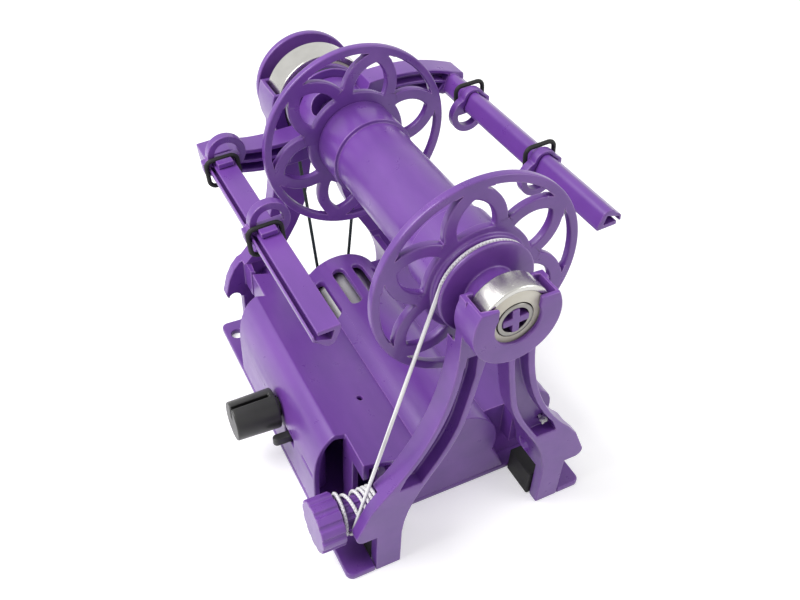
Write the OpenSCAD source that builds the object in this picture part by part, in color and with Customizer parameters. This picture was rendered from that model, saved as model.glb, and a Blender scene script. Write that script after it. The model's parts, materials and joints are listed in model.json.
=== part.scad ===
// Electric spinning wheel for handspinning yarn: a motor drives the flyer,
// and a cord brake holds back the bobbin. Near is the brake end, far the orifice end.
// Origin: on the table, under the spin axis, halfway along the base. Y runs to the orifice.

/* [Spin axis] */
// Height of the spin axis above the table
axis_z = 100.5; // [94:0.5:112]
// How far the flyer has been turned from level
flyer_turn = 5.7; // [0:0.1:20]

/* [Bobbin] */
// Radius of both openwork flanges
flange_r = 32.4; // [31:0.1:35]
// Thickness of a flange
flange_t = 2.5; // [2:0.1:3.5]
// Room for yarn between the flanges
yarn_l = 76.7; // [70:0.1:90]
// Radius of the core tube
core_r = 12.6; // [11.5:0.1:14]
// Wall of the core tube
core_wall = 1.5; // [1.2:0.1:2.4]
// Length of the collar beside each flange
collar_l = 13; // [6:0.5:16]
// How far a collar stands above the core tube
collar_rise = 1.2; // [0.6:0.1:2]
// Number of petals in a flange
petals = 6; // [5:1:6]
// Radius of the solid middle of a flange
rosette_hub_r = 17; // [15.8:0.1:17.8]
// Width of the rim outside the openings
rim_w = 2.7; // [2:0.1:3.6]
// Half width of a petal opening
petal_hw = 5.7; // [5:0.1:6.2]
// Length of a petal opening beyond the solid middle
petal_l = 9.8; // [9:0.1:10.4]
// Width of the ribs between openings
rib_w = 3.9; // [3.4:0.1:4.3]
// Width of the brake pulley
pulley_w = 4.8; // [4:0.1:6]
// Radius of the brake pulley's two lips
pulley_r = 14.8; // [14:0.1:16]
// Depth of the brake pulley's groove
pulley_groove = 3.1; // [2:0.1:3.5]
// Radius of the boss between the brake pulley and the bearing
boss_r = 7.4; // [6.5:0.1:8.5]
// Length of that boss
boss_l = 6.2; // [5:0.1:9]

/* [Flyer] */
// Distance of the arms from the spin axis
arm_r = 43.5; // [42:0.1:46]
// Width of an arm's flat top
arm_w = 6.8; // [6:0.1:8]
// Thickness of an arm's flat top
arm_top_t = 1.4; // [1.2:0.1:1.8]
// Depth of an arm from its flat top to its keel
arm_h = 6.6; // [6:0.1:7.6]
// Width of the groove along an arm's outer side
arm_groove = 0.8; // [0.6:0.1:1]
// Gap between the arm tips and the near maiden
tip_gap = 8; // [6:0.1:20]
// Length of the flyer hub
hub_l = 24.8; // [22:0.1:30]
// Radius of the flyer hub
hub_r = 12; // [11:0.1:13]
// Width of the cross arm along the spin axis
cross_w = 9; // [7:0.1:11]
// Height at which the cross arm leaves the hub
cross_top = 10.9; // [10:0.1:11.4]
// Depth of the channels in the cross arm
channel_d = 4; // [2:0.1:5]
// Diameter of the hole where the yarn leaves the hub
yarn_hole_d = 9; // [6:0.1:9.4]
// Diameter of the plus-shaped spindle
spindle_d = 10; // [9:0.1:11]
// Thickness of the spindle's ribs
spindle_rib = 2.2; // [1.6:0.1:3]
// Radius of the whorl that the drive band runs on
whorl_r = 14.6; // [13.6:0.1:16]
// Depth of the whorl's groove
whorl_groove = 2.2; // [1.4:0.1:2.6]
// Width of the whorl
whorl_w = 4.8; // [4:0.1:5.4]

/* [Orifice] */
// Bore that the yarn goes in by
orifice_d = 9.5; // [8:0.1:11]
// Radius of the disc at the end of the orifice tube
disc_r = 18.6; // [16:0.1:20]
// Thickness of that disc
disc_t = 2.5; // [2:0.1:4]
// Distance from the far bearing to the disc
disc_gap = 5.5; // [3:0.1:9]

/* [Bearings] */
// Near bearing: outside diameter
nb_od = 22; // [19:1:24]
// Near bearing: bore
nb_bore = 8; // [7:0.5:8]
// Near bearing: width
nb_w = 7; // [6:0.5:8]
// Far bearing: outside diameter
fb_od = 35; // [34:1:37]
// Far bearing: bore
fb_bore = 15; // [15:0.5:16]
// Far bearing: width
fb_w = 11; // [9:0.5:12]

/* [Maidens] */
// Depth of the legs along the spin axis
leg_d = 7; // [6:0.1:9]
// Half the width of the near maiden at its top
near_top_hw = 12.6; // [12.3:0.1:14]
// Half the width of the far maiden at its top
far_top_hw = 19; // [18.5:0.1:21]
// Wall of the bearing cradles
cradle_wall = 2.5; // [2:0.1:3.5]
// Thickness of the lips that keep a bearing in its cradle
lip_t = 1.5; // [1:0.1:2]
// How far the near cradle stands out from the legs
cradle_out = 6.4; // [4:0.1:8]
// Height of the cradle horns above the spin axis
horn_h = 6.6; // [5:0.1:8]
// Half the width of the opening in the near cradle's front lip
lip_open = 7; // [6.6:0.1:8]
// Outer side of a foot, from the middle
foot_out = 35.2; // [34:0.1:37]
// Inner side of a foot, from the middle
foot_in = 26.4; // [25:0.1:28]
// Reach of the lobe above each foot, from the middle
lobe_x = 42.1; // [40:0.1:44]
// Height of the underside of the lobes
lobe_z = 18.1; // [16:0.1:20]
// Rounding at the tip of the lobes
lobe_r = 2.8; // [2:0.1:5]
// Thickness of the feet and lobes
foot_t = 4.2; // [3.5:0.1:4.4]
// Depth of the recess in the outer face of the legs
recess_d = 4.4; // [2:0.1:5]
// Width of the edges that stand up round the recess
edge_w = 2.5; // [2:0.1:3.2]
// Thickness of the side walls behind the legs
side_wall = 2.8; // [2.2:0.1:3.6]

/* [Brake] */
// Diameter of the brake cord
cord_d = 1.2; // [0.8:0.1:1.6]
// Height of the tension peg
peg_z = 19.5; // [19:0.1:21]
// Distance of the tension peg behind the outer face of the legs
peg_in = 11.4; // [11.2:0.1:12]
// Diameter of the ribbed shaft that the cord winds on
peg_d = 9.6; // [8:0.1:10]
// Diameter of the pin at the end of the tension peg
peg_pin_d = 5.2; // [4:0.1:5.6]
// Diameter of the tension knob
tension_knob_d = 17.4; // [14:0.1:19]
// Length of the tension knob
tension_knob_l = 8; // [6:0.1:12]
// Number of flutes round the tension knob
tension_flutes = 12; // [8:1:16]

/* [Base] */
// Width of the base
base_w = 90; // [89:0.5:100]
// Thickness of the base plate
plate_t = 2.4; // [2:0.1:3.5]
// Radius of the base plate's corners
plate_corner_r = 2.5; // [2:0.5:6]
// Depth of the gap between the feet at each end
end_gap = 17.3; // [16.5:0.1:20]
// Diameter of the tie-down holes in the far corners
tie_hole_d = 5; // [3:0.1:6]

/* [Housing] */
// Wall of the moulded housing
shell_wall = 2.2; // [1.6:0.1:3]
// Height of the ridge over the electronics
ridge_z = 37.5; // [34:0.1:40]
// Distance of the ridge from the side of the base
ridge_in = 8; // [7:0.1:10]
// Height of the roof where it runs under the motor hood
roof_z = 27; // [24:0.1:30]
// Radius of the motor hood
hood_r = 17.3; // [16.6:0.1:18.5]
// How far the roof reaches past the walls at each end
brim = 3.2; // [1:0.1:3.4]
// Height of the right-hand shoulder
shoulder_z = 29; // [26:0.1:31]
// Rounding of the shoulder
shoulder_r = 9; // [6:0.5:12]
// Number of vent slots
vents = 4; // [2:1:5]
// Width of a vent slot
vent_w = 4.4; // [3:0.1:5.5]
// Length of a vent slot
vent_l = 21; // [14:0.5:23]
// Distance between vent slots
vent_pitch = 8.3; // [7:0.1:9]

/* [Motor] */
// Radius of the motor
motor_r = 14; // [12:0.1:14.2]
// Length of the motor
motor_l = 28; // [22:0.5:34]
// Sideways place of the motor
motor_x = 1.2; // [0:0.1:3]
// Height of the motor's axis
motor_z = 19.5; // [19.2:0.1:21]
// Radius of the motor pulley
motor_pulley_r = 6.6; // [5.5:0.1:8]
// Radius of the motor's shaft
motor_shaft_r = 1.6; // [1.2:0.1:2]
// Diameter of the elastic drive band
band_d = 1.3; // [1:0.1:1.8]

/* [Controls] */
// Diameter of the speed knob
speed_knob_d = 14.6; // [11:0.1:17]
// Length of the speed knob
speed_knob_l = 15.6; // [11:0.1:17]
// Place of the speed knob along the base
speed_y = -4; // [-8:0.5:10]
// Height of the speed knob
speed_z = 21.5; // [17:0.1:23]
// Place of the direction switch along the base
switch_y = -14.5; // [-19:0.5:-13]
// Height of the direction switch
switch_z = 17; // [12:0.5:20]
// Travel of the direction switch each way
switch_travel = 2; // [1:0.1:3]
// Bore of the power inlet
jack_d = 6.4; // [5:0.1:7]
// Place of the power inlet along the base
jack_y = 18; // [0:0.5:26]

/* [Sliding hooks] */
// Place of the far left hook's rubber ring along the spin axis
hook_1_y = 36.2; // [20:0.1:36.6]
// Place of the near left hook's rubber ring
hook_2_y = -3.8; // [-30:0.1:8]
// Place of the far right hook's rubber ring
hook_3_y = 29.8; // [12:0.1:36.6]
// Place of the near right hook's rubber ring
hook_4_y = -13.8; // [-30:0.1:0]
// Outer radius of the eye of a hook
eye_r = 6.4; // [6:0.1:6.8]
// Width of the ring round the eye
eye_wall = 2.3; // [1.8:0.1:2.5]
// Thickness of the collar and its eye
collar_t = 3; // [2:0.1:3.4]
// Thickness of the rubber ring that grips the arm
o_ring_d = 1.5; // [1.2:0.1:1.8]

/* [Hidden] */
$fn = 48;

purple = "#7a48ac";
steel = "#b9bbbd";
black = "#1c1c1e";

// Clearances: pieces that turn in each other, and pieces that only sit side by side
run = 0.06;
fit = 0.05;
gap = 0.3;

// Places along the spin axis, added up from the near bearing to the far one
near_face_gap = 0.4;
hub_gap = 0.5;
far_leg_set = 9.3;
base_l = -cradle_out + lip_t + nb_w + near_face_gap + boss_l + pulley_w + 2 * flange_t + yarn_l
    + hub_gap + hub_l + far_leg_set;
near_y = -base_l / 2;
far_y = base_l / 2;
nb_y = near_y - cradle_out + lip_t;
boss_y = nb_y + nb_w + near_face_gap;
pulley_y = boss_y + boss_l;
near_flange_y = pulley_y + pulley_w;
tube_y0 = near_flange_y + flange_t;
tube_y1 = tube_y0 + yarn_l;
hub_y = tube_y1 + flange_t + hub_gap;
hub_end = hub_y + hub_l;
fb_y = hub_end;
fb_end = fb_y + fb_w;
disc_y = fb_end + disc_gap;
whorl_y = hub_end - gap - whorl_w;
cross_y = whorl_y - gap - cross_w;
tip_y = near_y + leg_d + tip_gap;
band_y = whorl_y + whorl_w / 2;

side = base_w / 2;
shell_side = side - 0.2;
nose_y = near_y + end_gap;
shell_far_y = far_y - end_gap;
arch_y = nose_y + 10.7;
far_arch_y = shell_far_y - 10.7;
shoulder_y = nose_y + 5.7;
ridge_x = ridge_in - side;
notch_x = ridge_x + 3.4;
vent_mid_y = shell_far_y - 17.7;
partition_x = -25.2;
partition_y = -15;

// Points of a cubic curve between two ends with two handles
function curve(a, b, c, d, n) = [for (i = [0:n]) let (t = i / n, u = 1 - t)
    u * u * u * a + 3 * u * u * t * b + 3 * u * t * t * c + t * t * t * d];
function flip(pts) = [for (i = [len(pts) - 1:-1:0]) [-pts[i][0], pts[i][1]]];
function reversed(pts) = [for (i = [len(pts) - 1:-1:0]) pts[i]];

module along_y(y0, y1) {
    translate([0, y1, 0])
        rotate([90, 0, 0])
            linear_extrude(y1 - y0)
                children();
}

module rod_y(r, y0, y1, x = 0, z = axis_z) {
    translate([x, y0, z])
        rotate([-90, 0, 0])
            cylinder(r = r, h = y1 - y0);
}

module rod_x(r, x0, x1, y, z) {
    translate([x0, y, z])
        rotate([0, 90, 0])
            cylinder(r = r, h = x1 - x0);
}

module rod_z(r, z0, z1, x, y) {
    translate([x, y, z0])
        cylinder(r = r, h = z1 - z0);
}

module tube_y(r, hole_r, y0, y1, x = 0, z = axis_z) {
    difference() {
        rod_y(r, y0, y1, x, z);
        rod_y(hole_r, y0 - 1, y1 + 1, x, z);
    }
}

// A solid turned about the spin axis; the outline's second number runs along the axis
module turned(x = 0, z = axis_z) {
    translate([x, 0, z])
        rotate([-90, 0, 0])
            rotate_extrude()
                children();
}

// A round tube swept along points; a closed one joins its last ring to its first
function unit(v) = v / norm(v);
function run_dir(p, i, closed) = let (n = len(p),
    a = closed ? p[(i + n - 1) % n] : p[max(i - 1, 0)],
    b = closed ? p[(i + 1) % n] : p[min(i + 1, n - 1)]) unit(b - a);
function frames(p, closed, i = 1, acc = []) = len(acc) == 0
    ? let (t = run_dir(p, 0, closed), s = abs(t[1]) < 0.8 ? [0, 1, 0] : [0, 0, 1])
        frames(p, closed, 1, [unit(s - (s * t) * t)])
    : i == len(p) ? acc
    : let (t = run_dir(p, i, closed), s = acc[i - 1])
        frames(p, closed, i + 1, concat(acc, [unit(s - (s * t) * t)]));

module cord_tube(p, d, sides, closed) {
    n = len(p);
    f = frames(p, closed);
    ring_pts = [for (i = [0:n - 1], k = [0:sides - 1])
        let (t = run_dir(p, i, closed), w = cross(t, f[i]), a = 360 * k / sides)
            p[i] + d / 2 * (cos(a) * f[i] + sin(a) * w)];
    last = closed ? n - 1 : n - 2;
    walls = [for (i = [0:last], k = [0:sides - 1])
        let (j = (i + 1) % n, m = (k + 1) % sides)
            [j * sides + k, j * sides + m, i * sides + m, i * sides + k]];
    ends = closed ? [] : [[for (k = [0:sides - 1]) k], [for (k = [sides - 1:-1:0]) (n - 1) * sides + k]];
    polyhedron(points = ring_pts, faces = concat(walls, ends), convexity = 6);
}

// Base plate: the flat floor, with a gap between the feet at each end
end_slot_hw = foot_out + 0.15;
screw_spots = [[-side + 5.5, -26], [-side + 5.5, 31], [side - 7, -32], [side - 7, 36]];
base_screw_r = 1.4;
screw_head_r = 2.8;
screw_head_t = 1.3;

module base_plate() {
    color(purple)
    difference() {
        union() {
            for (sx = [-1, 1], sy = [-1, 1])
                rod_z(plate_corner_r, 0, plate_t, sx * (side - plate_corner_r), sy * (far_y - plate_corner_r));
            translate([-side, plate_corner_r - far_y, 0])
                cube([base_w, base_l - 2 * plate_corner_r, plate_t]);
            translate([plate_corner_r - side, -far_y, 0])
                cube([base_w - 2 * plate_corner_r, base_l, plate_t]);
        }
        for (sy = [-1, 1])
            translate([-end_slot_hw, sy > 0 ? far_y - end_gap : -far_y - 1, -1])
                cube([2 * end_slot_hw, end_gap + 1, plate_t + 2]);
        for (sx = [-1, 1])
            rod_z(tie_hole_d / 2, -1, plate_t + 1, sx * (side - 4.6), far_y - 8);
        for (p = screw_spots) {
            rod_z(base_screw_r + 0.2, -1, plate_t + 1, p[0], p[1]);
            rod_z(screw_head_r + 0.2, -1, screw_head_t + 0.1, p[0], p[1]);
        }
    }
}

// Housing: a ridge over the electronics, a rounded hood over the motor and a low shoulder
module ridge_section(inset) {
    s = shell_side - inset;
    top = ridge_z - inset;
    left = curve([-s, top - 19.5], [-s, top - 6.5], [ridge_x - 3.5, top - 1.5], [ridge_x, top], 8);
    polygon(concat([[-s, inset > 0 ? 0 : plate_t]], left,
        [[motor_x, roof_z - inset], [motor_x, inset > 0 ? 0 : plate_t]]));
}

module shoulder_section(inset) {
    s = shell_side - inset;
    top = shoulder_z - inset;
    r = shoulder_r - inset;
    low = inset > 0 ? 0 : plate_t;
    arc = [for (a = [0:15:90]) [s - r + r * cos(a), top - r + r * sin(a)]];
    polygon(concat([[motor_x, low], [s, low]], arc, [[motor_x, top]]));
}

module hood(inset, y0, y1) {
    intersection() {
        rod_y(hood_r - inset, y0, y1, motor_x, motor_z);
        translate([-side, y0 - 1, inset > 0 ? -1 : plate_t])
            cube([base_w, y1 - y0 + 2, 60]);
    }
}

// Housing seen from above: notched at both left corners, with the roof standing out beside them
brim_x = motor_x - 13.5;
brim_low = 29;
module shell_plan() {
    polygon([[-side, arch_y], [notch_x, arch_y], [notch_x, nose_y - brim], [brim_x, nose_y - brim],
        [brim_x, nose_y], [side, nose_y], [side, shell_far_y], [brim_x, shell_far_y],
        [brim_x, shell_far_y + brim], [notch_x, shell_far_y + brim], [notch_x, far_arch_y], [-side, far_arch_y]]);
}

// Room under the roof where it stands out, with a thin wall left beside each notch
module brim_room() {
    translate([notch_x - 1, nose_y - brim - 1, -1])
        cube([brim_x - notch_x + 2, brim + 1, brim_low + 1]);
    translate([notch_x - 1, nose_y - 1, -1])
        cube([partition_x - notch_x + 1, 6, brim_low + 1]);
    intersection() {
        along_y(nose_y - brim - 1, nose_y) ridge_section(shell_wall);
        translate([notch_x + shell_wall, -far_y, brim_low - 1])
            cube([brim_x - notch_x, base_l, 30]);
    }
    intersection() {
        along_y(shell_far_y, shell_far_y + brim + 1) ridge_section(shell_wall);
        translate([notch_x + shell_wall, 0, 0])
            cube([brim_x - notch_x, base_l, 60]);
    }
    translate([notch_x - 1, shell_far_y, -1])
        cube([brim_x - notch_x + 2, brim + 1, lobe_z + 7]);
}

module shell_outside() {
    flare = 5;
    difference() {
        intersection() {
            union() {
                along_y(nose_y - brim - 1, shell_far_y + brim + 1) ridge_section(0);
                along_y(shoulder_y, shell_far_y + 1) shoulder_section(0);
                along_y(nose_y - 1, shoulder_y + 1)
                    polygon([[motor_x, plate_t], [motor_x + hood_r + flare, plate_t],
                        [motor_x + hood_r, 14], [motor_x, 14]]);
                hood(0, nose_y - 1, shell_far_y + 1);
            }
            linear_extrude(80) shell_plan();
        }
        brim_room();
    }
}

module shell_inside() {
    inner_far = shell_far_y - shell_wall;
    difference() {
        union() {
            intersection() {
                along_y(nose_y, inner_far) ridge_section(shell_wall);
                translate([-side, nose_y - 6, -1])
                    cube([side + partition_x, base_l, 60]);
            }
            along_y(partition_y, inner_far) ridge_section(shell_wall);
            along_y(shoulder_y + shell_wall, inner_far) shoulder_section(shell_wall);
            hood(shell_wall, nose_y + shell_wall, inner_far);
            // Room under the roof beside the near end of the hood
            intersection() {
                along_y(nose_y + shell_wall, partition_y + 1) ridge_section(shell_wall);
                translate([partition_x + shell_wall, -far_y, -1])
                    cube([motor_x - partition_x, far_y, 60]);
            }
        }
        translate([-side - 1, far_arch_y - shell_wall, -2])
            cube([notch_x + shell_wall + side + 1, base_l, 70]);
        translate([notch_x, nose_y - 1, -2])
            cube([shell_wall, arch_y - nose_y + 3, 70]);
    }
}

post_r = 3.2;
seat_x = foot_in - 0.8;
module shell_posts() {
    intersection() {
        union() {
            for (p = screw_spots)
                rod_z(post_r, plate_t, 60, p[0], p[1]);
            // Seats that the near maiden's right side wall and the far side walls screw to
            translate([seat_x - 2.2, shoulder_y, plate_t])
                cube([5.4, shell_wall + 2, shoulder_z - plate_t]);
        }
        shell_outside();
    }
    // Right seat of the near maiden, in front of the shoulder
    translate([seat_x - 1.6, nose_y, lobe_z - 3])
        cube([4.4, shoulder_y - nose_y + 0.5, 14]);
}

motor_screw_pitch = 12.5;
motor_screw_r = 1.25;
module vent_slot(x) {
    translate([x, vent_mid_y, motor_z + 6])
        linear_extrude(30)
            union() {
                square([vent_w, vent_l - vent_w], center = true);
                for (s = [-1, 1])
                    translate([0, s * (vent_l - vent_w) / 2])
                        circle(d = vent_w);
            }
}

maiden_screw_z = lobe_z + 8;
maiden_screw_r = 0.9;
maiden_screw_l = 11;
bushing_r = 3.4;
slider_w = 3;
slider_out = 5.6;
hole_in_roof = [-21.5, -22];

module base_shell() {
    color(purple)
    difference() {
        union() {
            difference() {
                shell_outside();
                shell_inside();
            }
            shell_posts();
        }
        for (i = [0:vents - 1])
            vent_slot(motor_x + (i - (vents - 1) / 2) * vent_pitch);
        rod_x(bushing_r + fit, -side - 1, -side + shell_wall + 3, speed_y, speed_z);
        translate([-side - 1, switch_y - slider_w / 2 - switch_travel - 0.6, switch_z - slider_w / 2 - gap])
            cube([shell_wall + 3, slider_w + 2 * switch_travel + 1.2, slider_w + 2 * gap]);
        translate([-side - 1, arch_y + 1.5, 19])
            cube([shell_wall + 3, 9, 1]);
        rod_z(1, 20, 50, hole_in_roof[0], hole_in_roof[1]);
        rod_x(jack_d / 2 + 1.2, side - 6, side + 1, jack_y, 12);
        rod_y(5.2, shell_far_y - 5, shell_far_y + 1, motor_x, motor_z);
        for (s = [-1, 1])
            rod_y(motor_screw_r + 0.15, shell_far_y - 5, shell_far_y + 1,
                motor_x + s * motor_screw_pitch, motor_z);
        for (p = screw_spots)
            rod_z(base_screw_r + 0.02, plate_t - 1, plate_t + 9.4, p[0], p[1]);
        for (s = [-1, 1]) {
            rod_y(maiden_screw_r + 0.1, nose_y - 1, shoulder_y + 6, s * seat_x, maiden_screw_z);
            rod_y(maiden_screw_r + 0.1, shell_far_y - 6, shell_far_y + 1, s * seat_x, maiden_screw_z);
        }
    }
}

// Maidens: the two A-shaped uprights that carry the bearings
knee_z = axis_z - 14.5;
crotch_z = axis_z - 16.5;
function outer_edge(top_hw) = concat(
    curve([top_hw, knee_z], [top_hw + 0.8, knee_z - 20], [21, 49], [33.5, 36.5], 14),
    []);
function lobe_edge(full) = full ? [[35.4, 35.6], [38.1, 32.4], [40.4, 27.6]] : [[37.4, 31.6]];
function inner_edge() = concat(
    curve([foot_in, 16], [foot_in - 0.9, 34], [13, 42], [8, 58.5], 10),
    curve([8, 58.5], [6.2, 66], [4.8, 76], [3.2, crotch_z], 4));

module legs_section(top_hw, top_z, full) {
    right_side = concat([[top_hw, top_z]], outer_edge(top_hw), lobe_edge(full), [[lobe_x - lobe_r * 0.1, lobe_z + lobe_r * 1.4]],
        [[lobe_x - lobe_r, lobe_z], [foot_out, lobe_z], [foot_out, 0], [foot_in, 0]]);
    difference() {
        union() {
            polygon(concat(right_side, flip(right_side)));
            for (s = [-1, 1])
                translate([s * (lobe_x - lobe_r), lobe_z + lobe_r])
                    circle(lobe_r);
        }
        polygon(concat([[foot_in, -1]], inner_edge(), flip(inner_edge()), [[-foot_in, -1]]));
        // Hollow under a full lobe, which leaves its tip hooked
        if (full)
            for (s = [-1, 1])
                translate([s * (foot_out + 3.4), lobe_z - 0.1])
                    circle(2.5);
    }
}

module recess_section(top_hw, top_z) {
    out = [for (p = outer_edge(top_hw)) if (p[1] > 40) [p[0] - edge_w, p[1] + edge_w * 0.2]];
    in_pts = [for (p = inner_edge()) if (p[1] > 34 && p[1] < crotch_z - 1) [p[0] + edge_w * 0.85, p[1]]];
    for (s = [0, 1])
        mirror([s, 0])
            polygon(concat([[top_hw - edge_w, top_z]], out, [[28, 38], [23, 38]], in_pts,
                [[in_pts[len(in_pts) - 1][0], top_z]]));
}

// One upright with its outer face at y = 0 and its back towards +y
module legs(top_hw, cradle_r, full) {
    top_z = axis_z + horn_h;
    difference() {
        union() {
            along_y(0, foot_t) legs_section(top_hw, top_z, full);
            intersection() {
                along_y(0, leg_d) legs_section(top_hw, top_z, full);
                translate([-60, -1, 36])
                    cube([120, 20, 120]);
            }
            // Side walls from the legs back to the housing, with the hole for a tension peg
            intersection() {
                along_y(0, end_gap - 0.2)
                    for (s = [0, 1])
                        mirror([s, 0])
                            polygon(concat([for (p = inner_edge()) if (p[1] < 42) p],
                                reversed([for (p = inner_edge()) if (p[1] < 42) p + [side_wall, 0]])));
                translate([-60, -1, lobe_z - 4])
                    cube([120, 60, 16.4]);
            }
        }
        along_y(-1, recess_d)
            recess_section(top_hw, axis_z - cradle_r - 1);
    }
}

module peg_holes(y) {
    rod_x((peg_pin_d / 2) + run, -foot_in - 6, -foot_in + 8, y, peg_z);
    rod_x((peg_pin_d / 2) + run, foot_in - 8, foot_in + 6, y, peg_z);
}

cord_hole_r = cord_d / 2 + 0.35;
anchor_x = 24;
anchor_z = 42;

module near_maiden() {
    r = nb_od / 2 + cradle_wall;
    cradle_y0 = nb_y - lip_t;
    cradle_y1 = nb_y + nb_w + lip_t;
    color(purple)
    difference() {
        union() {
            translate([0, near_y, 0])
                legs(near_top_hw, r, false);
            intersection() {
                union() {
                    rod_y(r, cradle_y0, cradle_y1);
                    translate([-near_top_hw, near_y, axis_z - 2])
                        cube([2 * near_top_hw, cradle_y1 - near_y, 20]);
                }
                translate([-50, cradle_y0, 0])
                    cube([100, cradle_y1 - cradle_y0, axis_z + horn_h]);
            }
        }
        rod_y(nb_od / 2 + fit, nb_y - fit, nb_y + nb_w + fit);
        translate([-nb_od / 2 - fit, nb_y - fit, axis_z])
            cube([nb_od + 2 * fit, nb_w + 2 * fit, 30]);
        // Opening of the front lip
        rod_y(lip_open, cradle_y0 - 1, nb_y + 1);
        translate([-lip_open + 0.7, cradle_y0 - 1, axis_z])
            cube([2 * lip_open - 1.4, lip_t + 2, 30]);
        // Opening of the back lip, clear of the bobbin
        rod_y(boss_r + 1.4, nb_y + 1, near_y + leg_d + 1);
        translate([-boss_r - 1.4, nb_y + 1, axis_z])
            cube([2 * boss_r + 2.8, near_y + leg_d - nb_y, 30]);
        // Room behind the cradle for the brake pulley
        rod_y(pulley_r + 1, cradle_y1, near_y + leg_d + 1);
        translate([-pulley_r - 1, cradle_y1, axis_z])
            cube([2 * pulley_r + 2, leg_d, 30]);
        peg_holes(near_y + peg_in);
        rod_y(cord_hole_r, near_y - 1, near_y + leg_d + 1, anchor_x, anchor_z);
        for (s = [-1, 1])
            rod_y(maiden_screw_r + 0.02, nose_y - 6.4, nose_y + 1, s * seat_x, maiden_screw_z);
    }
}

far_cradle_r = fb_od / 2 + cradle_wall;
far_lip_r = max(fb_od / 2 - 2.4, whorl_r + 0.5);
module far_maiden() {
    cradle_y0 = fb_y - lip_t;
    cradle_y1 = fb_end + lip_t;
    color(purple)
    difference() {
        union() {
            translate([0, far_y, 0])
                mirror([0, 1, 0])
                    legs(far_top_hw, far_cradle_r, true);
            // Thin wall in line with the one under the roof's edge
            intersection() {
                translate([notch_x, shell_far_y + brim + 1.6, lobe_z + 6])
                    cube([2, far_y - foot_t - shell_far_y - brim - 1.5, 30]);
                along_y(0, far_y) ridge_section(0.4);
            }
            intersection() {
                union() {
                    rod_y(far_cradle_r, cradle_y0, cradle_y1);
                    translate([-far_top_hw, far_y - leg_d, axis_z - 4])
                        cube([2 * far_top_hw, leg_d, 20]);
                }
                translate([-50, cradle_y0, 0])
                    cube([100, cradle_y1 - cradle_y0, axis_z + horn_h]);
            }
        }
        rod_y(fb_od / 2 + fit, fb_y - fit, fb_end + fit);
        translate([-fb_od / 2 - fit, fb_y - fit, axis_z])
            cube([fb_od + 2 * fit, fb_w + 2 * fit, 30]);
        rod_y(far_lip_r, cradle_y0 - 1, cradle_y1 + 1);
        translate([-far_lip_r + 0.4, cradle_y0 - 1, axis_z])
            cube([2 * far_lip_r - 0.8, fb_w + 2 * lip_t + 2, 30]);
        peg_holes(far_y - peg_in);
        for (s = [-1, 1])
            rod_y(maiden_screw_r + 0.02, shell_far_y - 1, shell_far_y + 7, s * seat_x, maiden_screw_z);
    }
}

// Ball bearings: two rings, balls between them and a shield on each face
shield_t = 0.5;
inner_part = 0.2;
module outer_ring(od, bore, w, y) {
    step = (od - bore) / 2;
    tube_y(od / 2, od / 2 - step * 0.24, y, y + w);
}
module inner_ring(od, bore, w, y) {
    step = (od - bore) / 2;
    tube_y(bore / 2 + step * inner_part, bore / 2, y, y + w);
}
module ball_set(od, bore, w, y, count) {
    step = (od - bore) / 2;
    inside = bore / 2 + step * inner_part;
    outside = od / 2 - step * 0.24;
    for (i = [0:count - 1])
        rotate_about_axis(i * 360 / count)
            translate([(inside + outside) / 2, y + w / 2, axis_z])
                sphere(r = (outside - inside) / 2 - 0.02, $fn = 24);
}
module shield_pair(od, bore, w, y) {
    step = (od - bore) / 2;
    for (s = [y + 0.3, y + w - 0.3 - shield_t])
        tube_y(od / 2 - step * 0.24 - 0.02, bore / 2 + step * inner_part + 0.25, s, s + shield_t);
}
module rotate_about_axis(a) {
    translate([0, 0, axis_z])
        rotate([0, -a, 0])
            translate([0, 0, -axis_z])
                children();
}

module near_bearing_outer_ring() { color(steel) outer_ring(nb_od, nb_bore, nb_w, nb_y); }
module near_bearing_inner_ring() { color(steel) inner_ring(nb_od, nb_bore, nb_w, nb_y); }
module near_bearing_balls() { color(steel) ball_set(nb_od, nb_bore, nb_w, nb_y, 7); }
module near_bearing_shields() { color("ivory") shield_pair(nb_od, nb_bore, nb_w, nb_y); }
module far_bearing_outer_ring() { color(steel) outer_ring(fb_od, fb_bore, fb_w, fb_y); }
module far_bearing_inner_ring() { color(steel) inner_ring(fb_od, fb_bore, fb_w, fb_y); }
module far_bearing_balls() { color(steel) ball_set(fb_od, fb_bore, fb_w, fb_y, 9); }
module far_bearing_shields() { color("ivory") shield_pair(fb_od, fb_bore, fb_w, fb_y); }

// Bobbin: a core tube between two openwork flanges, the near one with the brake pulley
bobbin_bore_r = spindle_d / 2 + run;
plug_l = 6;
rosette_turn = 8.5;
petal_at = rosette_hub_r + 1;
petal_reach = petal_l - 1;
petal_c = (petal_reach * petal_reach - petal_hw * petal_hw) / (2 * petal_hw);

// A pointed petal is where two circles overlap
module petal(grow) {
    intersection_for (t = [-1, 1])
        translate([petal_at, t * petal_c])
            circle(petal_hw + petal_c + grow, $fn = 60);
}

module rosette() {
    difference() {
        circle(flange_r);
        difference() {
            for (i = [0:petals - 1])
                rotate(rosette_turn + (i + 0.5) * 360 / petals)
                    petal(0);
            circle(rosette_hub_r);
        }
        difference() {
            circle(flange_r - rim_w);
            circle(rosette_hub_r + 1);
            for (i = [0:petals - 1])
                rotate(rosette_turn + (i + 0.5) * 360 / petals)
                    petal(rib_w);
        }
    }
}

module flange_disc(y) {
    along_y(y, y + flange_t)
        translate([0, axis_z])
            difference() {
                rosette();
                circle(bobbin_bore_r);
            }
}

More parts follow.
